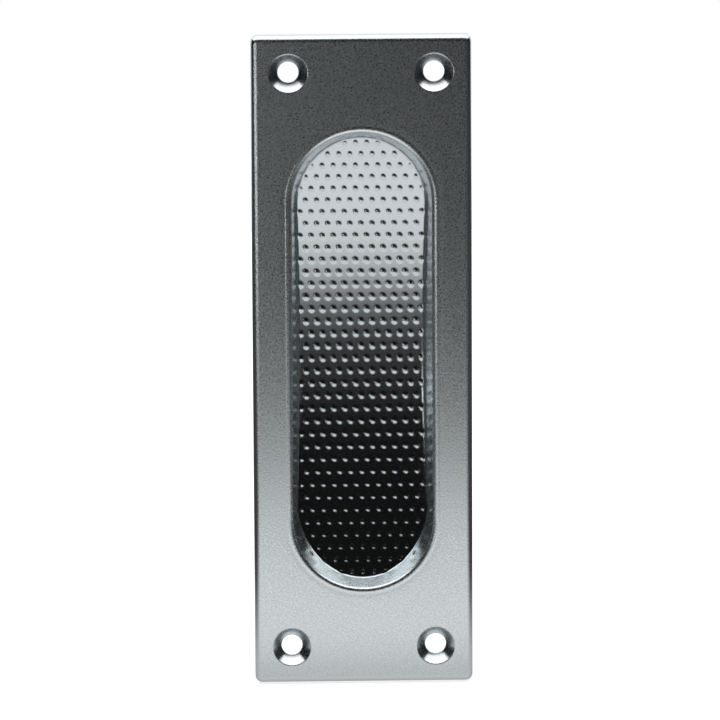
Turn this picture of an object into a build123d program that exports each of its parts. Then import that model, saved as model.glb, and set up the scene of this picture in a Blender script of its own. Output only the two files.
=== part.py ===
from build123d import *
from math import asin, cos, hypot, radians, sin, tan
import os

# Flush pull for a pocket door, pressed from one sheet of aluminium: a plate whose edge is turned back,
# four countersunk screw seats, and a long finger recess whose floor is a scoop covered with pips.
# X runs across the plate, +Z is up along it, and the face looks towards -Y.
# The origin is on the door's surface (the plane Y = 0), in the middle of the four screw holes.
# All sizes are in millimetres and degrees.

# Plate
plate_length = 150.0
plate_width = 50.0
sheet = 1.2
plate_corner_radius = 1.6
plate_edge_radius = 1.4

# Screw seats, pressed back until they bear on the door
hole_spacing_across = 33.0
hole_spacing_along = 133.0
hole_diameter = 4.8
seat_diameter = 8.8
seat_angle = 90.0
seat_land = 1.0

# Finger recess
recess_length = 106.0
recess_width = 32.0
recess_depth = 12.0
recess_end_depth = 3.8
side_draft = 6.5
end_draft = 25.0
rim_radius = 1.2
foot_radius = 1.0

# Pips raised over the floor of the recess, in staggered rows
pip_pitch_across = 2.53
pip_pitch_along = 2.9
pip_size = 2.2
pip_height = 0.36
pip_root = 0.04
pip_inset = 0.7

# How far past the rim of the recess an edge may lie and still be picked for the rim's fillet.
rim_reach = 0.1

# The face stands off the door by the depth of a screw seat and of its land.
seat_depth = (seat_diameter - hole_diameter) / 2 / tan(radians(seat_angle / 2))
face_height = seat_depth + seat_land

# Sketch planes. Their normals point out of the door, towards the hand.
DOOR = Plane.XZ
FACE = DOOR.offset(face_height)

# The floor is part of a cylinder that lies across the plate. Its radius follows from the depth in the
# middle and the depth at the foot of the end walls.
floor_half_length = recess_length / 2 - recess_end_depth * tan(radians(end_draft))
floor_drop = recess_depth - recess_end_depth
floor_radius = (floor_half_length**2 + floor_drop**2) / (2 * floor_drop)
floor_axis_height = face_height - recess_depth + floor_radius


def recess_size(depth, wall):
    """Length and width of the recess at a depth below the face, grown by the thickness of its wall."""
    end_inset = depth * tan(radians(end_draft)) - wall / cos(radians(end_draft))
    side_inset = depth * tan(radians(side_draft)) - wall / cos(radians(side_draft))
    return recess_length - 2 * end_inset, recess_width - 2 * side_inset


def recess_form(wall):
    """The space of the recess, or with a wall, the outside of the shell around it."""
    below_floor = recess_depth + 2 * sheet + foot_radius
    with BuildPart() as form:
        for depth in (0, below_floor):
            with BuildSketch(FACE.offset(-depth)):
                SlotOverall(*recess_size(depth, wall), rotation=90)
        loft(ruled=True)
        with BuildSketch(Plane.YZ):
            with Locations((-floor_axis_height, 0)):
                Circle(floor_radius + wall)
        extrude(amount=plate_width, both=True, mode=Mode.INTERSECT)
    return form.part


with BuildPart() as hollow:
    add(recess_form(0))
    scoop = hollow.faces().sort_by(Axis.Y)[-1]
    fillet(scoop.edges(), foot_radius)

shell = recess_form(sheet)

# The outside of a screw seat: a collar that bears on the door, under the cone of the countersink.
seat_half_angle = radians(seat_angle / 2)
seat_wall = sheet / cos(seat_half_angle)
collar_radius = hole_diameter / 2 + seat_wall
with BuildPart() as seat:
    Cylinder(collar_radius, face_height, align=(Align.CENTER, Align.CENTER, Align.MIN))
    with Locations((0, 0, seat_land)):
        Cone(
            collar_radius,
            collar_radius + seat_depth * tan(seat_half_angle),
            seat_depth,
            align=(Align.CENTER, Align.CENTER, Align.MIN),
        )

# One pip: a low four-sided point, square to its row, whose root goes a little way into the floor.
pip_half = pip_size / 2 * (1 + pip_root / pip_height)
pip_foot = [(x, y, -pip_root) for x in (-pip_half, pip_half) for y in (-pip_half, pip_half)]
with BuildPart() as pip:
    ConvexPolyhedron([*pip_foot, (0, 0, pip_height)])


def on_floor(across, depth, along):
    """Whether a pip's middle is far enough inside the foot of the walls."""
    length, width = recess_size(depth, 0)
    past_straight = max(abs(along) - (length - width) / 2, 0)
    return hypot(across, past_straight) <= width / 2 - pip_inset


def pip_places():
    """A plane for each pip, on the floor and square to it, in rows that step sideways by half a pitch."""
    places = []
    floor_half_arc = floor_radius * asin(floor_half_length / floor_radius)
    rows_each_way = round(floor_half_arc / pip_pitch_along)
    pips_each_way = round(recess_width / 2 / pip_pitch_across)
    for row in range(2 * rows_each_way):
        angle = (rows_each_way - row - 0.5) * pip_pitch_along / floor_radius
        height = floor_axis_height - floor_radius * cos(angle)
        along = floor_radius * sin(angle)
        step = 0.5 if row % 2 == 0 else 0
        for column in range(-pips_each_way, pips_each_way + 1):
            across = (column + step) * pip_pitch_across
            if on_floor(across, face_height - height, along):
                origin = (across, -height, along)
                places.append(Plane(origin, x_dir=(1, 0, 0), z_dir=(0, -cos(angle), -sin(angle))))
    return places


with BuildPart() as pull_plate:
    # The blank, with its corners and its front edge rounded, hollowed so that the edge is turned back.
    with BuildSketch(DOOR):
        RectangleRounded(plate_width, plate_length, plate_corner_radius)
    extrude(amount=face_height)
    front = pull_plate.faces().sort_by(Axis.Y)[0]
    fillet(front.edges(), plate_edge_radius)
    back = pull_plate.faces().sort_by(Axis.Y)[-1]
    offset(amount=-sheet, openings=back)

    # The shell of the recess, then its hollow, with the rim rounded into the face.
    add(shell)
    add(hollow.part, mode=Mode.SUBTRACT)
    rim = pull_plate.edges().filter_by_position(Axis.Y, -face_height, -face_height).filter_by(
        lambda edge: abs(edge.center().X) < recess_width / 2 + rim_reach
        and abs(edge.center().Z) < recess_length / 2 + rim_reach
    )
    fillet(rim, rim_radius)

    # The screw seats.
    with Locations(DOOR):
        with GridLocations(hole_spacing_across, hole_spacing_along, 2, 2):
            add(seat.part)
    with Locations(FACE):
        with GridLocations(hole_spacing_across, hole_spacing_along, 2, 2):
            CounterSinkHole(hole_diameter / 2, seat_diameter / 2, counter_sink_angle=seat_angle)

    # The pips, all over the floor.
    with Locations(*pip_places()):
        add(pip.part, clean=False)

pull_plate.part.label = "pull_plate"
os.makedirs("parts", exist_ok=True)
export_step(pull_plate.part, "parts/pull_plate.step")
print("floor radius", round(floor_radius, 1), "pips", len(pip_places()))
print("volume", round(pull_plate.part.volume), "size", pull_plate.part.bounding_box().size)
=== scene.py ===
# %% [markdown]
# # A flush pull for a pocket door
#
# The real thing is one pressing: a sheet of aluminium whose edge is turned back to the door, with four
# countersunk screw seats and a long finger recess. The floor of the recess is a scoop, shallow at its
# ends and deep in the middle, and it is covered with small raised pips so that a fingertip finds grip.
# The sheet is blasted before it is pressed, and the pull is anodised last, so its face has a satin grain.
#
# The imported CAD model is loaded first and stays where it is. Everything made here is in metres, in the
# same frame: X across the plate, +Z up along it, and the face towards -Y.

# %% Load the frame
from math import asin, cos, pi, radians, sin, sqrt, tan

import bmesh
import bpy
from mathutils import Matrix, Vector
from mathutils.geometry import delaunay_2d_cdt, tessellate_polygon


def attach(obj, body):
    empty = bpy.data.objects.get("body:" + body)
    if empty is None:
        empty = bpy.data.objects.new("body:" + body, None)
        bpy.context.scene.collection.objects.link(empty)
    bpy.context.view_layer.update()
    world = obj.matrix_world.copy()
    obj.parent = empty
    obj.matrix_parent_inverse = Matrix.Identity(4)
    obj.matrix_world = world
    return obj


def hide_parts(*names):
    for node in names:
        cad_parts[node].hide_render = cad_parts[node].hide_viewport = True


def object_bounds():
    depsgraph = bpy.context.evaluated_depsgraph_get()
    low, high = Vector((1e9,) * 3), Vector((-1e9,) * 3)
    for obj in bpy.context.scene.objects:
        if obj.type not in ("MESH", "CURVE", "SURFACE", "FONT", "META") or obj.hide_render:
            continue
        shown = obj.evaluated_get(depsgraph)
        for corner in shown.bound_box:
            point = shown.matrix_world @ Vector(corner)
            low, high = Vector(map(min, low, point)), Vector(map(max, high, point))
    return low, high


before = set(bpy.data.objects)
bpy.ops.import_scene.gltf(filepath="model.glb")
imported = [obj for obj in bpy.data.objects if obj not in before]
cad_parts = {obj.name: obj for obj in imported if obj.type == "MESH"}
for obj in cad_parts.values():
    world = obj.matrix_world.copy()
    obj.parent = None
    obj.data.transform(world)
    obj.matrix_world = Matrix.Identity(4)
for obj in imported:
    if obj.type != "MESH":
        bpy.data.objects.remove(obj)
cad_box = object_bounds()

MM = 0.001
low, high = cad_box
print("CAD box in mm:", [round(v / MM, 2) for v in (*low, *high)])

# %% [markdown]
# ## Sizes
#
# The outside sizes come from the CAD box, so the plate made here can't drift from it. The rest are the
# sizes that the press tool would have, in metres.

# %% Sizes of the pull
half_width = high.x
half_length = high.z
face_y = low.y
sheet = 1.2 * MM
corner_radius = 1.6 * MM
arris_radius = 1.4 * MM

recess_half_length = 53.0 * MM
recess_half_width = 16.0 * MM
recess_depth = 12.0 * MM
recess_end_depth = 3.8 * MM
side_draft = radians(6.5)
end_draft = radians(25)
rim_radius = 1.2 * MM
back_radius = 0.3 * MM
foot_radius = 1.0 * MM
bead_dip = 0.03 * MM
bead_side = 0.3 * MM
bead_apron = 1.2 * MM

seat_across = 16.5 * MM
seat_along = 66.5 * MM
hole_radius = 2.4 * MM
seat_radius = 4.4 * MM
seat_half_angle = radians(45)
seat_land = 1.0 * MM
lip_radius = 0.4 * MM

pip_pitch_across = 2.53 * MM
pip_pitch_along = 2.9 * MM
pip_radius = 0.9 * MM
pip_height = 0.2 * MM
pip_fade = 0.15 * MM

floor_half_length = recess_half_length - recess_end_depth * tan(end_draft)
floor_drop = recess_depth - recess_end_depth
floor_radius = (floor_half_length**2 + floor_drop**2) / (2 * floor_drop)
axis_y = face_y + recess_depth - floor_radius
print("scoop radius in mm:", round(floor_radius / MM, 1))

# %% [markdown]
# ## The camera
#
# The photograph looks at the pull from a little above and a little to the left, through a long lens.
# The camera is placed by those two angles and its distance, then rolled by the slight lean of the plate
# in the picture. Its frame is 720 pixels wide, and the lens is worked out from how many of those pixels
# one millimetre of the face takes up.

# %% Camera
FRAME_PIXELS = 720
SENSOR = 36.0
camera_distance = 1.6
camera_rise = radians(11.0)
camera_left = radians(1.4)
camera_roll = radians(0.3)
pixels_per_mm = 4.39
face_centre_pixel = (362.6, 361.8)

face_centre = Vector((0, face_y, 0))
towards_camera = Vector((
    -sin(camera_left) * cos(camera_rise),
    -cos(camera_left) * cos(camera_rise),
    sin(camera_rise),
))
frame_width = FRAME_PIXELS / pixels_per_mm * MM

camera_data = bpy.data.cameras.new("camera")
camera_data.sensor_width = SENSOR
camera_data.lens = SENSOR * camera_distance / frame_width
camera_data.shift_x = (FRAME_PIXELS / 2 - face_centre_pixel[0]) / FRAME_PIXELS
camera_data.shift_y = (face_centre_pixel[1] - FRAME_PIXELS / 2) / FRAME_PIXELS
camera = bpy.data.objects.new("camera", camera_data)
bpy.context.scene.collection.objects.link(camera)
camera.location = face_centre + towards_camera * camera_distance
aim = (-towards_camera).to_track_quat("-Z", "Y").to_matrix().to_4x4()
camera.matrix_world = Matrix.Translation(camera.location) @ aim @ Matrix.Rotation(-camera_roll, 4, "Z")
bpy.context.scene.camera = camera
print("lens in mm:", round(camera_data.lens))

# %% [markdown]
# ## A skin of rings
#
# A pressing is all outlines: each bend, wall and edge is one outline flowing into the next. So the mesh
# is built from rings of points that follow those outlines. A band of quads joins one ring to the next,
# and a flat area is filled between its outer ring and its holes. One mesh made like this is closed, and
# its bends are real geometry that catches the light as the real ones do.

# %% Rings, bands and fills
points = []
faces = []


def ring(places):
    """Adds points and gives back their numbers."""
    first = len(points)
    points.extend(places)
    return list(range(first, len(points)))


def band(one, other):
    """Quads between two rings with the same number of points."""
    for k in range(len(one)):
        after = (k + 1) % len(one)
        faces.append((one[k], one[after], other[after], other[k]))


def bands(rings):
    """A band between each ring and the next."""
    for one, other in zip(rings, rings[1:]):
        band(one, other)


def fill(outer, holes=()):
    """Triangles over a flat area between an outer ring and the rings of its holes."""
    loops = [outer, *holes]
    numbers = [n for loop in loops for n in loop]
    outline = [[Vector((points[n].x, points[n].z, 0)) for n in loop] for loop in loops]
    for triangle in tessellate_polygon(outline):
        faces.append(tuple(numbers[corner] for corner in triangle))


def bend(start, corner, end, steps):
    """Places along the round bend that replaces a corner, from one tangent point to the other."""
    arm_one = (start - corner).normalized()
    arm_two = (end - corner).normalized()
    weight = sin(arm_one.angle(arm_two) / 2)
    places = []
    for step in range(steps + 1):
        t = step / steps
        a, b, c = (1 - t) ** 2, 2 * t * (1 - t) * weight, t**2
        places.append((start * a + corner * b + end * c) / (a + b + c))
    return places


# %% [markdown]
# ## The plate
#
# The outline is a rectangle with small round corners. Rings of it run over the face's soft edge, down
# the side to the door, and up the inside of the turned-back edge to the back of the sheet. A narrow
# flat ring beside each bend keeps the shading of the flat face truly flat.

# %% Outline of the plate
CORNER_STEPS = 10
ARRIS_STEPS = 8
guard = 0.15 * MM


def plate_ring(inset, y, radius):
    """The plate's outline, drawn in by an inset, at a depth y, with this corner radius."""
    places = []
    for turn, (sx, sz) in enumerate(((1, 1), (-1, 1), (-1, -1), (1, -1))):
        centre_x = sx * (half_width - inset - radius)
        centre_z = sz * (half_length - inset - radius)
        for step in range(CORNER_STEPS + 1):
            angle = (turn + step / CORNER_STEPS) * pi / 2
            places.append(Vector((centre_x + radius * cos(angle), y, centre_z + radius * sin(angle))))
    return ring(places)


face_outline = plate_ring(arris_radius + guard, face_y, corner_radius - arris_radius)
arris = []
for step in range(ARRIS_STEPS + 1):
    angle = step / ARRIS_STEPS * pi / 2
    inset = arris_radius * (1 - sin(angle))
    y = face_y + arris_radius * (1 - cos(angle))
    arris.append(plate_ring(inset, y, corner_radius - inset))
edge_foot = plate_ring(0, 0, corner_radius)
pan_foot = plate_ring(sheet, 0, corner_radius - sheet)
pan_top = plate_ring(sheet, face_y + sheet, corner_radius - sheet)
bands([face_outline, *arris, edge_foot, pan_foot, pan_top])
print("rings round the plate:", len(arris) + 4)

# %% [markdown]
# ## The screw seats
#
# Each seat is a countersink pressed back until its collar bears on the door. Its lip is rounded where
# the sheet turns into the cone, and the bore is square where the punch broke through.

# %% Screw seats
SEAT_STEPS = 72
LIP_STEPS = 6
collar_radius = hole_radius + sheet / cos(seat_half_angle)


def circle(centre, radius, y):
    """A ring round a screw hole."""
    angles = [2 * pi * k / SEAT_STEPS for k in range(SEAT_STEPS)]
    return ring([Vector((centre[0] + radius * cos(a), y, centre[1] + radius * sin(a))) for a in angles])


def seat(centre):
    """Front to back: face, lip, cone, bore, land, collar. Gives the rings that cut the face and the back."""
    tangent = lip_radius * tan((pi / 2 - seat_half_angle) / 2)
    on_face = Vector((seat_radius + tangent, face_y))
    on_cone = Vector((
        seat_radius - tangent * sin(seat_half_angle),
        face_y + tangent * cos(seat_half_angle),
    ))
    lip = bend(on_face, Vector((seat_radius, face_y)), on_cone, LIP_STEPS)
    rings = [circle(centre, seat_radius + tangent + guard, face_y)]
    rings += [circle(centre, place.x, place.y) for place in lip]
    rings.append(circle(centre, hole_radius, -seat_land))
    rings.append(circle(centre, hole_radius, 0))
    rings.append(circle(centre, collar_radius, 0))
    rings.append(circle(centre, collar_radius, -seat_land))
    collar_height = -seat_land - (face_y + sheet)
    collar_top = collar_radius + collar_height * tan(seat_half_angle)
    rings.append(circle(centre, collar_top, face_y + sheet))
    bands(rings)
    return rings[0], rings[-1]


seat_centres = [(sx * seat_across, sz * seat_along) for sx in (-1, 1) for sz in (-1, 1)]
seats = [seat(centre) for centre in seat_centres]
print("screw seats:", len(seats))

# %% [markdown]
# ## The finger recess
#
# The walls are straight lines that lean inwards: a little at the long sides and more at the round ends.
# Each line runs from the sharp corner at the face to the scoop below it, and both of its corners are
# then replaced by a round bend. Drawing the wall line by line keeps every bend the same radius all the
# way round, also where the wall's lean changes. The press also draws the face down beside the rim, by
# less than a hair's breadth, so the rim stands as a fine bead whose outer side shows as a thin line.

# %% Wall lines of the recess
SETTLE_ROUNDS = 40
BEAD_APRON_STEPS = 4
BEAD_SIDE_STEPS = 6


def wall_lines(side_steps, end_steps):
    """For each line: the outline's outward direction, and its place along a side (or the end's sign)."""
    lines = []
    for sign in (1, -1):
        for step in range(end_steps):
            angle = (step / end_steps - (0 if sign > 0 else 1)) * pi
            lines.append((Vector((cos(angle), sin(angle))), sign))
        for step in range(side_steps):
            lines.append((Vector((-sign, 0)), sign * (1 - 2 * step / side_steps)))
    return lines


def wall_place(line, depth, wall):
    """Where a wall line is at a depth below the face; wall moves it out, square to itself, to the back."""
    outward, along = line
    side_inset = depth * tan(side_draft) - wall / cos(side_draft)
    end_inset = depth * tan(end_draft) - wall / cos(end_draft)
    radius = recess_half_width - side_inset
    centre = recess_half_length - end_inset - radius
    return Vector((outward.x * radius, face_y + depth, along * centre + outward.y * radius))


def scoop_y(z, wall=0):
    """How deep the scoop is at a height z, or with a wall, the back of its shell."""
    return axis_y + sqrt((floor_radius + wall) ** 2 - z * z)


def foot_place(line, wall):
    """Where a wall line meets the scoop. Depth and place depend on each other, so they settle in rounds."""
    depth = recess_depth
    for _ in range(SETTLE_ROUNDS):
        depth = scoop_y(wall_place(line, depth, wall).z, wall) - face_y
    return wall_place(line, depth, wall)


def bead_profile():
    """Reach from the rim's bend and dip below the face, from the outside inwards."""
    profile = []
    for step in range(BEAD_APRON_STEPS):
        share = step / BEAD_APRON_STEPS
        profile.append((bead_side + bead_apron * (1 - share), bead_dip * (1 - cos(pi * share)) / 2))
    for step in range(BEAD_SIDE_STEPS):
        share = step / BEAD_SIDE_STEPS
        profile.append((bead_side * (1 - share), bead_dip * (1 + cos(pi * share)) / 2))
    return profile


def recess_rings(lines, height, wall, rim_steps, foot_steps):
    """Rings from the sheet's surface, over the rim and down the wall to the scoop."""
    columns = []
    for line in lines:
        outward = Vector((line[0].x, 0, line[0].y))
        rim = wall_place(line, height - face_y, wall)
        foot = foot_place(line, wall)
        down = (foot - rim).normalized()
        rim_bend = max(rim_radius - wall, back_radius)
        foot_bend = foot_radius + wall
        rim_tangent = rim_bend / tan(down.angle(outward) / 2)
        inward = -outward
        inward.y = (scoop_y(foot.z + inward.z * foot_bend, wall) - foot.y) / foot_bend
        foot_tangent = foot_bend / tan((-down).angle(inward) / 2)
        on_floor = foot - outward * foot_tangent
        on_floor.y = scoop_y(on_floor.z, wall)
        column = []
        if wall == 0:
            for reach, dip in bead_profile():
                column.append(rim + outward * (rim_tangent + guard + reach) + Vector((0, dip, 0)))
        column.append(rim + outward * (rim_tangent + guard))
        column += bend(rim + outward * rim_tangent, rim, rim + down * rim_tangent, rim_steps)
        column += bend(foot - down * foot_tangent, foot, on_floor, foot_steps)
        columns.append(column)
    rings = [ring([column[k] for column in columns]) for k in range(len(columns[0]))]
    bands(rings)
    return rings[0], rings[-1]


# %% [markdown]
# The scoop itself is laid out on a grid that keeps step with the pips, ten squares to a pitch, so that
# each pip is drawn by the same few points. The grid is cut about a third of a square short of the foot
# of the wall, so that no sliver is drawn, and a Delaunay triangulation joins its ragged edge to the foot
# ring. The back of the shell is plain, so its grid is coarser.

# %% Floor of the scoop
SQUARES = 10
EDGE_GAP = 0.35
SAME_POINT = 1e-9
INSIDE_ONLY = 1
back_square = 2.5 * MM


def scoop_floor(foot, step_across, step_along, wall):
    """Fills the scoop inside its foot ring with a grid of points that lie on it."""
    reach = floor_radius + wall
    outline = [Vector((points[n].x, points[n].z)) for n in foot]
    columns = int(recess_half_width / step_across)
    rows = int(recess_half_length / step_along)
    clear = EDGE_GAP * min(step_across, step_along)
    length = max(p.y for p in outline) - clear
    width = max(p.x for p in outline) - clear
    straight = length - width
    flat = list(outline)
    for row in range(-rows, rows + 1):
        z = reach * sin(row * step_along / reach)
        beyond = max(abs(z) - straight, 0)
        if beyond >= width:
            continue
        row_half = sqrt(width**2 - beyond**2)
        flat += [
            Vector((column * step_across, z))
            for column in range(-columns, columns + 1)
            if abs(column * step_across) < row_half
        ]
    edges = [(k, (k + 1) % len(outline)) for k in range(len(outline))]
    found, _, triangles, origins, _, _ = delaunay_2d_cdt(flat, edges, [], INSIDE_ONLY, SAME_POINT)
    numbers = [foot[source[0]] if source[0] < len(outline) else None for source in origins]
    for k, place in enumerate(found):
        if numbers[k] is None:
            points.append(Vector((place.x, scoop_y(place.y, wall), place.y)))
            numbers[k] = len(points) - 1
    faces.extend(tuple(numbers[corner] for corner in triangle) for triangle in triangles)
    return len(found)


front_lines = wall_lines(side_steps=180, end_steps=120)
rim_ring, foot_ring = recess_rings(front_lines, face_y, 0, rim_steps=12, foot_steps=6)
floor_points = scoop_floor(foot_ring, pip_pitch_across / SQUARES, pip_pitch_along / SQUARES, 0)
back_lines = wall_lines(side_steps=40, end_steps=48)
bend_ring, back_foot = recess_rings(back_lines, face_y + sheet, sheet, rim_steps=5, foot_steps=6)
scoop_floor(back_foot, back_square, back_square, sheet)
fill(face_outline, [rim_ring, *(front for front, _ in seats)])
fill(pan_top, [bend_ring, *(back for _, back in seats)])
print("points on the floor:", floor_points)

# %% [markdown]
# All the parts of the skin share their rings, so the mesh is already closed. Its faces are turned to
# point outwards, and only the square edges are kept sharp: the bore, the land and the turned-back edge.

# %% One closed mesh
SHARP_ANGLE = radians(38)


def make_object(name, places, polygons):
    """A mesh object whose faces point outwards, smooth but for its square edges."""
    mesh = bpy.data.meshes.new(name)
    mesh.from_pydata(places, [], polygons)
    work = bmesh.new()
    work.from_mesh(mesh)
    bmesh.ops.recalc_face_normals(work, faces=work.faces)
    open_edges = sum(1 for edge in work.edges if len(edge.link_faces) != 2)
    volume = work.calc_volume(signed=True)
    work.to_mesh(mesh)
    work.free()
    mesh.shade_smooth()
    mesh.set_sharp_from_angle(angle=SHARP_ANGLE)
    made = bpy.data.objects.new(name, mesh)
    bpy.context.scene.collection.objects.link(made)
    print(name, "points", len(places), "open edges", open_edges, "volume in mm3", round(volume / MM**3))
    return made


blank = make_object("pull_blank", points, faces)

# %% [markdown]
# ## The pips
#
# Some four hundred pips repeat over the floor in staggered rows, so a Geometry Nodes tree makes them. It
# lays a flat grid of points, shifts every other row by half a pitch, and bends the grid on to the scoop.
# Each point of the skin then rises towards the scoop's axis by a height that depends only on how far it
# is from the nearest of those points: a round tip on a foot that runs out flat. So the pips are pushed
# out of the sheet itself, as the press does it, and the mesh stays one closed skin.

# %% Small helpers for nodes
def add_node(tree, kind, settings=(), inputs=()):
    """Adds a node, sets its properties, and links or sets its inputs by name or number."""
    node = tree.nodes.new(kind)
    for name, value in dict(settings).items():
        setattr(node, name, value)
    for key, value in dict(inputs).items():
        if isinstance(value, bpy.types.NodeSocket):
            tree.links.new(value, node.inputs[key])
        else:
            node.inputs[key].default_value = value
    return node


def math_node(tree, operation, *values):
    """The result of a Math node on links or numbers."""
    return add_node(tree, "ShaderNodeMath", {"operation": operation}, enumerate(values)).outputs[0]


# %% The tree that raises the pips
pip_sizes = {
    "Pitch Across": pip_pitch_across,
    "Pitch Along": pip_pitch_along,
    "Pip Radius": pip_radius,
    "Pip Height": pip_height,
    "Fade Height": pip_fade,
    "Scoop Radius": floor_radius,
    "Axis Y": axis_y,
    "Half Width": recess_half_width - recess_depth * tan(side_draft),
    "Half Length": floor_half_length,
}
floor_half_arc = floor_radius * asin(floor_half_length / floor_radius)
pip_counts = {
    "Rows": 2 * round(floor_half_arc / pip_pitch_along),
    "Columns": 2 * round(recess_half_width / pip_pitch_across) + 2,
}
ROW_STAGGER = 0.5
TIP_POWER = 3.0


def pip_tree():
    """Raises the skin of the scoop into pips. The higher the tip's power, the wider its flat foot."""
    tree = bpy.data.node_groups.new("raise_pips", "GeometryNodeTree")
    tree.interface.new_socket("Geometry", in_out="INPUT", socket_type="NodeSocketGeometry")
    for name in pip_sizes:
        tree.interface.new_socket(name, in_out="INPUT", socket_type="NodeSocketFloat")
    for name in pip_counts:
        tree.interface.new_socket(name, in_out="INPUT", socket_type="NodeSocketInt")
    tree.interface.new_socket("Material", in_out="INPUT", socket_type="NodeSocketMaterial")
    tree.interface.new_socket("Geometry", in_out="OUTPUT", socket_type="NodeSocketGeometry")
    given = tree.nodes.new("NodeGroupInput").outputs

    def math(operation, *values):
        return math_node(tree, operation, *values)

    def combine(x, y, z):
        return add_node(tree, "ShaderNodeCombineXYZ", (), {"X": x, "Y": y, "Z": z}).outputs[0]

    def separate(vector):
        return add_node(tree, "ShaderNodeSeparateXYZ", (), {"Vector": vector}).outputs

    # One point for each pip, on a flat grid: number = column * rows + row.
    number = tree.nodes.new("GeometryNodeInputIndex").outputs[0]
    cloud = add_node(tree, "GeometryNodePoints", (), {
        "Count": math("MULTIPLY", given["Rows"], given["Columns"]),
    }).outputs[0]
    column = math("FLOOR", math("DIVIDE", number, given["Rows"]))
    row = math("SUBTRACT", number, math("MULTIPLY", column, given["Rows"]))
    middle_row = math("DIVIDE", math("SUBTRACT", given["Rows"], 1), 2)
    middle_column = math("DIVIDE", math("SUBTRACT", given["Columns"], 1), 2)
    stagger = math("MULTIPLY", math("MODULO", row, 2), ROW_STAGGER)
    across = math("MULTIPLY", math("ADD", math("SUBTRACT", column, middle_column), stagger),
                  given["Pitch Across"])
    turn = math("DIVIDE", math("MULTIPLY", math("SUBTRACT", middle_row, row), given["Pitch Along"]),
                given["Scoop Radius"])
    height = math("ADD", given["Axis Y"], math("MULTIPLY", math("COSINE", turn), given["Scoop Radius"]))
    along = math("MULTIPLY", math("SINE", turn), given["Scoop Radius"])
    on_scoop = add_node(tree, "GeometryNodeSetPosition", (), {
        "Geometry": cloud, "Position": combine(across, height, along),
    }).outputs[0]

    # Points past the foot of the wall are dropped: the foot is a straight stretch with round ends.
    straight = math("SUBTRACT", given["Half Length"], given["Half Width"])
    beyond = math("MAXIMUM", math("SUBTRACT", math("ABSOLUTE", along), straight), 0.0)
    from_line = math("SQRT", math("ADD", math("MULTIPLY", across, across), math("MULTIPLY", beyond, beyond)))
    outside = math("GREATER_THAN", from_line, given["Half Width"])
    kept = add_node(tree, "GeometryNodeDeleteGeometry", {"domain": "POINT"}, {
        "Geometry": on_scoop, "Selection": outside,
    }).outputs[0]

    # How far each point of the skin is from the nearest pip, and how high the pip is there.
    near = add_node(tree, "GeometryNodeProximity", {"target_element": "POINTS"}, {0: kept})
    reach = math("DIVIDE", near.outputs["Distance"], given["Pip Radius"])
    inside = math("MAXIMUM", math("SUBTRACT", 1.0, math("MULTIPLY", reach, reach)), 0.0)
    share = math("POWER", inside, TIP_POWER)

    # The way up is towards the axis of the scoop. Skin that has left the scoop for the bend of the wall
    # is raised less and less, because there the press has no room for a full pip.
    place = separate(tree.nodes.new("GeometryNodeInputPosition").outputs[0])
    inwards = math("SUBTRACT", given["Axis Y"], place["Y"])
    to_axis = combine(0.0, inwards, math("SUBTRACT", 0.0, place["Z"]))
    up = add_node(tree, "ShaderNodeVectorMath", {"operation": "NORMALIZE"}, {0: to_axis}).outputs[0]
    from_axis = add_node(tree, "ShaderNodeVectorMath", {"operation": "LENGTH"}, {0: to_axis})
    off_floor = math("ABSOLUTE", math("SUBTRACT", given["Scoop Radius"], from_axis.outputs["Value"]))
    room = math("MAXIMUM", math("SUBTRACT", 1.0, math("DIVIDE", off_floor, given["Fade Height"])), 0.0)
    rise = math("MULTIPLY", math("MULTIPLY", share, room), given["Pip Height"])
    lift = add_node(tree, "ShaderNodeVectorMath", {"operation": "SCALE"}, {0: up, "Scale": rise})
    raised = add_node(tree, "GeometryNodeSetPosition", (), {
        "Geometry": given["Geometry"],
        "Offset": lift.outputs[0],
    }).outputs[0]

    real = add_node(tree, "GeometryNodeRealizeInstances", (), {"Geometry": raised}).outputs[0]
    coated = add_node(tree, "GeometryNodeSetMaterial", (), {
        "Geometry": real, "Material": given["Material"],
    }).outputs[0]
    add_node(tree, "NodeGroupOutput", (), {"Geometry": coated})
    return tree


raise_pips = pip_tree()
print("pip rows and columns:", pip_counts, "nodes in the tree:", len(raise_pips.nodes))

# %% How a tree's result becomes a plain mesh
def made_with(tree, source, values, name):
    """Runs a tree on an object and returns a new plain object with the result."""
    modifier = source.modifiers.new(tree.name, "NODES")
    modifier.node_group = tree
    for item in tree.interface.items_tree:
        if item.in_out == "INPUT" and item.name in values:
            modifier[item.identifier] = values[item.name]
    source.update_tag()
    view = bpy.context.evaluated_depsgraph_get()
    mesh = bpy.data.meshes.new_from_object(source.evaluated_get(view))
    mesh.name = name
    source.modifiers.remove(modifier)
    bpy.data.objects.remove(source)
    made = bpy.data.objects.new(name, mesh)
    bpy.context.scene.collection.objects.link(made)
    return made
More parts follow.
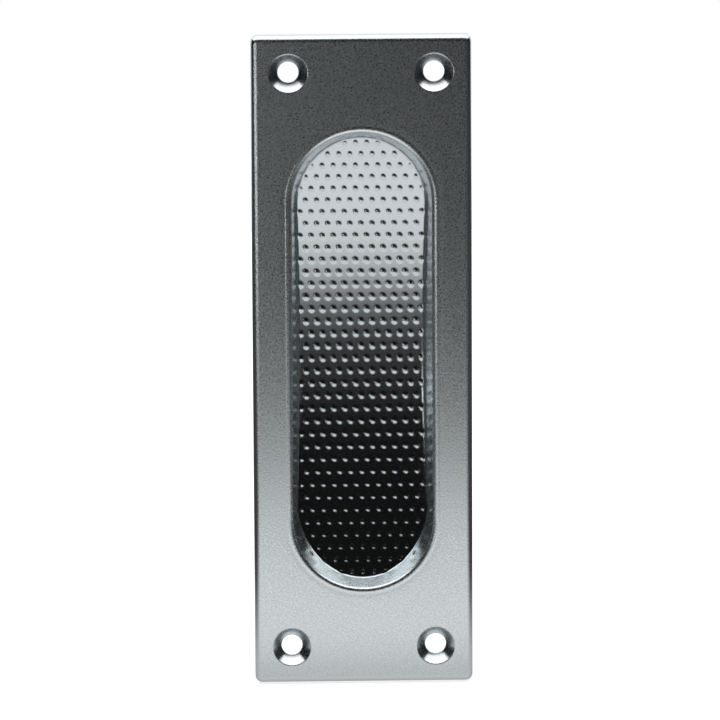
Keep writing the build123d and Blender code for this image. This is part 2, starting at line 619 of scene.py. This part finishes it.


# %% [markdown]
# ## The finish
#
# Aluminium sheet that was blasted with fine grit, pressed, and then anodised in its natural colour. The
# grit leaves a dense field of tiny dents, so the metal shows only a soft, broken reflection of the room.
# The anodic film is clear and colours it a cool grey. The press tools rub off the grain where they bear
# hard: on the floor of the recess, the cones of the screw seats, the turned-back edge and the back. Those
# are burnished, so reflections there are crisper. They are also coloured a little darker, as painted shade
# that stands in for the dimmer light there. The face and the walls of the recess keep the grain.
#
# The dents of such a grit are about 0.14 mm across. That is less than one pixel here, so the pattern is
# drawn three times as coarse. The dents change the roughness from spot to spot and bend the reflection
# slightly. A point attribute on the mesh says how far each spot is burnished, and so also how much of the
# painted shade its colour takes.

# %% Satin anodised aluminium
dent_width = 0.14 * MM
dents_drawn_coarser = 3
dent_depth = 0.012 * MM
grain_range = (0.2, 0.8)
blasted_roughness = (0.21, 0.37)
burnished_roughness = 0.16
burnished_dents = 0.1
blasted_colour = "#E6ECEE"
# The burnished colour is darker than the blasted one: this is painted shade, not a change in the metal.
burnished_painted_shade_colour = "#CBD1D4"


def linear(hex_colour):
    """An sRGB hex colour as linear red, green, blue and alpha."""
    channels = [int(hex_colour[k:k + 2], 16) / 255 for k in (1, 3, 5)]
    return (*[c / 12.92 if c <= 0.04045 else ((c + 0.055) / 1.055) ** 2.4 for c in channels], 1.0)


def satin_aluminium():
    """Blasted where the skin's point attribute is 0, and smooth where it is 1. Where it is 1 the colour is
    also darker, which is painted shade.
    """
    material = bpy.data.materials.new("satin_anodised_aluminium")
    material.use_nodes = True
    tree = material.node_tree
    shader = tree.nodes["Principled BSDF"]
    shader.inputs["Metallic"].default_value = 1.0
    place = tree.nodes.new("ShaderNodeTexCoord").outputs["Object"]
    grain = add_node(tree, "ShaderNodeTexNoise", (), {
        "Vector": place, "Scale": 1 / (dents_drawn_coarser * dent_width),
        "Detail": 1.0, "Roughness": 0.5,
    }).outputs["Fac"]
    burnish_and_shade = add_node(tree, "ShaderNodeAttribute", {"attribute_name": "burnish_and_shade"}).outputs["Fac"]
    # The colour turns darker where the attribute is 1: painted shade for the recess, the seats and the back.
    tint_with_painted_shade = add_node(tree, "ShaderNodeMix", {"data_type": "RGBA"}, {
        "Factor": burnish_and_shade, 6: linear(blasted_colour), 7: linear(burnished_painted_shade_colour),
    }).outputs[2]
    tree.links.new(tint_with_painted_shade, shader.inputs["Base Color"])
    blasted = add_node(tree, "ShaderNodeMapRange", (), {
        "Value": grain, "From Min": grain_range[0], "From Max": grain_range[1],
        "To Min": blasted_roughness[0], "To Max": blasted_roughness[1],
    }).outputs[0]
    rough = add_node(tree, "ShaderNodeMix", {"data_type": "FLOAT"}, {
        "Factor": burnish_and_shade, 2: blasted, 3: burnished_roughness,
    }).outputs[0]
    tree.links.new(rough, shader.inputs["Roughness"])
    bite = add_node(tree, "ShaderNodeMapRange", (), {
        "Value": burnish_and_shade, "To Min": 1.0, "To Max": burnished_dents,
    }).outputs[0]
    dents = add_node(tree, "ShaderNodeBump", (), {
        "Height": grain, "Strength": bite, "Distance": dent_depth,
    }).outputs[0]
    tree.links.new(dents, shader.inputs["Normal"])
    return material


aluminium = satin_aluminium()
print("finish:", aluminium.name)

# %% The pull, with its pips raised and its finish on
pull = made_with(raise_pips, blank, {**pip_sizes, **pip_counts, "Material": aluminium}, "pull")
print("points:", len(pull.data.vertices))

# %% Where the tools have burnished it, and where its colour is painted darker as shade
burnish_and_shade_fade = 0.3 * MM
burnish_and_shade_reach = 2 * burnish_and_shade_fade
wall_front = 0.9 * sheet


def clamped(share):
    """The share, kept between none and all."""
    return min(max(share, 0.0), 1.0)


def burnish_and_shade_at(place):
    """How far the tools have polished the skin: not at all on the face and the walls, fully elsewhere.
    The same share darkens the colour there as painted shade.

    Inside the form of the recess, or hardly outside it, is the front of its wall. There only what lies
    close to the scoop is polished.
    """
    depth = place.y - face_y
    radius = recess_half_width - depth * tan(side_draft)
    straight = recess_half_length - depth * tan(end_draft) - radius
    from_line = sqrt(place.x**2 + max(abs(place.z) - straight, 0.0) ** 2)
    share = clamped((depth - bead_dip) / burnish_and_shade_fade)
    if from_line < radius + wall_front:
        above_scoop = scoop_y(place.z) - place.y
        share *= clamped((burnish_and_shade_reach - above_scoop) / burnish_and_shade_fade)
    return share


# This attribute sets the burnished roughness and also the darker colour of painted shade.
burnish_and_shade = pull.data.attributes.new("burnish_and_shade", "FLOAT", "POINT")
burnish_and_shade.data.foreach_set("value", [burnish_and_shade_at(vertex.co) for vertex in pull.data.vertices])
triangles = sum(len(polygon.vertices) - 2 for polygon in pull.data.polygons)
print("pull triangles:", triangles, "materials:", [m.name for m in pull.data.materials])
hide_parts("pull_plate")
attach(pull, "root")

# %% [markdown]
# ## The room
#
# A satin metal looks like what stands round it. The face tips the camera's view down to the table, and
# the upper end of the scoop tips it down further, to the table close by. The lower half of the scoop
# looks out into the room, and the wall below it looks up. So the pull stands on a pale table whose first
# fifth of a metre is bright, hardly wider than the pull, so that the side walls of the recess mirror the
# dim table beside it. The rest falls off into a dark room. A wide soft lamp hangs overhead and reaches a
# little way forward, and the top left of the face mirrors a bright card far out on the table. The camera
# sees table and backdrop as plain white, and the table as a matt surface that keeps the pull's shadow.

# %% Helpers for the stage
table_gap = 0.3 * MM
table_z = low.z - table_gap
print("table top in mm:", round(table_z / MM, 2))


def stage_plane(name, across, along, height, material, looks_down=False):
    """A level plane, from its two ends across and along the room."""
    (left, right), (front, back) = across, along
    places = [(left, front), (right, front), (right, back), (left, back)]
    if looks_down:
        places[1], places[3] = places[3], places[1]
    mesh = bpy.data.meshes.new(name)
    mesh.from_pydata([Vector((x, y, height)) for x, y in places], [], [(0, 1, 2, 3)])
    made = bpy.data.objects.new(name, mesh)
    mesh.materials.append(material)
    bpy.context.scene.collection.objects.link(made)
    return made


def ramp_light(tree, profile, axis):
    """Light given off along one axis of a surface, from (metres, strength) stops."""
    place = tree.nodes.new("ShaderNodeTexCoord").outputs["Object"]
    reading = add_node(tree, "ShaderNodeSeparateXYZ", (), {"Vector": place}).outputs[axis]
    first, last = profile[0][0], profile[-1][0]
    share = add_node(tree, "ShaderNodeMapRange", (), {
        "Value": reading, "From Min": first, "From Max": last,
    }).outputs[0]
    strongest = max(strength for _, strength in profile)
    ramp = add_node(tree, "ShaderNodeValToRGB", (), {"Fac": share})
    stops = ramp.color_ramp.elements
    while len(stops) < len(profile):
        stops.new(0.5)
    for stop, (metres, strength) in zip(stops, profile):
        stop.position = (metres - first) / (last - first)
        stop.color = (*[strength / strongest] * 3, 1.0)
    lit = add_node(tree, "ShaderNodeEmission", (), {"Color": ramp.outputs[0], "Strength": strongest})
    return lit.outputs[0]


def new_stage_material(name):
    """An empty material, and its tree."""
    material = bpy.data.materials.new(name)
    material.use_nodes = True
    material.node_tree.nodes.clear()
    return material, material.node_tree


# %% Table
# The stops are metres along the room, negative in front of the pull, and strength.
table_light = [
    (-1.2, 0.01), (-0.30, 0.02), (-0.24, 0.12), (-0.215, 0.55), (-0.18, 0.98),
    (-0.14, 1.00), (-0.09, 0.85), (-0.05, 0.90), (-0.02, 0.60), (0.3, 0.50),
]
bright_half_width = 0.05
dim_half_width = 0.12
dim_strength = 0.06
paper_glow = 0.7
paper_colour = linear("#CBCBCB")
paper, tree = new_stage_material("table_paper")
matt = add_node(tree, "ShaderNodeBsdfDiffuse", (), {"Color": paper_colour})
pale = add_node(tree, "ShaderNodeEmission", (), {"Strength": paper_glow})
seen_paper = add_node(tree, "ShaderNodeAddShader", (), {0: matt.outputs[0], 1: pale.outputs[0]})
seen = tree.nodes.new("ShaderNodeLightPath").outputs["Is Camera Ray"]
place = tree.nodes.new("ShaderNodeTexCoord").outputs["Object"]
across = add_node(tree, "ShaderNodeSeparateXYZ", (), {"Vector": place}).outputs["X"]
edge = add_node(tree, "ShaderNodeMapRange", (), {
    "Value": math_node(tree, "ABSOLUTE", across),
    "From Min": bright_half_width, "From Max": dim_half_width,
}).outputs[0]
dim = add_node(tree, "ShaderNodeEmission", (), {"Strength": dim_strength})
lit = add_node(tree, "ShaderNodeMixShader", (), {
    0: edge, 1: ramp_light(tree, table_light, "Y"), 2: dim.outputs[0],
})
mixed = add_node(tree, "ShaderNodeMixShader", (), {0: seen, 1: lit.outputs[0], 2: seen_paper.outputs[0]})
add_node(tree, "ShaderNodeOutputMaterial", (), {"Surface": mixed.outputs[0]})
table_across = (-1.2, 1.2)
table_along = (-1.2, 0.6)
table = stage_plane("table", table_across, table_along, table_z, paper)
print("table in metres:", table_across, table_along)

# %% Lamp overhead, and a bright card far out on the left
lamp_light = [(-0.5, 0.1), (-0.46, 0.3), (-0.4, 1.7), (0.0, 1.7), (0.1, 1.6), (0.9, 1.6)]
cloth, tree = new_stage_material("lamp_cloth")
add_node(tree, "ShaderNodeOutputMaterial", (), {"Surface": ramp_light(tree, lamp_light, "Y")})
lamp_across = (-0.8, 0.8)
lamp_along = (-0.5, 0.9)
lamp_height = 0.62
lamp = stage_plane("soft_lamp", lamp_across, lamp_along, lamp_height, cloth, looks_down=True)
card_light = [(-0.9, 2.6), (-0.16, 2.6), (-0.10, 0.0)]
card_paper, tree = new_stage_material("card_paper")
add_node(tree, "ShaderNodeOutputMaterial", (), {"Surface": ramp_light(tree, card_light, "X")})
card_across = (-0.9, -0.04)
card_along = (-0.85, -0.55)
card_thickness = 1 * MM
card = stage_plane("left_card", card_across, card_along, table_z + card_thickness, card_paper)
for piece in (lamp, card):
    piece.visible_camera = False
print("stage:", table.name, lamp.name, card.name)

# %% [markdown]
# The rest of the room is dark in front, where the scoop looks out, and pale behind the pull, where only
# its back and the lower end of the recess can see it. That keeps the back easy to see too.

# %% The rest of the room
dark_strength = 0.005
pale_strength = 1.0
pale_from = 0.1
pale_fully = 0.7
white_colour = linear("#FFFFFF")
world = bpy.data.worlds.new("room")
bpy.context.scene.world = world
world.use_nodes = True
room = world.node_tree
room.nodes.clear()
direction = room.nodes.new("ShaderNodeTexCoord").outputs["Generated"]
backwards = add_node(room, "ShaderNodeSeparateXYZ", (), {"Vector": direction}).outputs["Y"]
strength = add_node(room, "ShaderNodeMapRange", (), {
    "Value": backwards, "From Min": pale_from, "From Max": pale_fully,
    "To Min": dark_strength, "To Max": pale_strength,
}).outputs[0]
walls = add_node(room, "ShaderNodeBackground", (), {"Color": white_colour, "Strength": strength})
white = add_node(room, "ShaderNodeBackground", (), {"Color": white_colour, "Strength": 1.0})
to_camera = room.nodes.new("ShaderNodeLightPath").outputs["Is Camera Ray"]
both = add_node(room, "ShaderNodeMixShader", (), {0: to_camera, 1: walls.outputs[0], 2: white.outputs[0]})
add_node(room, "ShaderNodeOutputWorld", (), {"Surface": both.outputs[0]})
bpy.context.scene.view_settings.view_transform = "Standard"
print("world:", world.name)
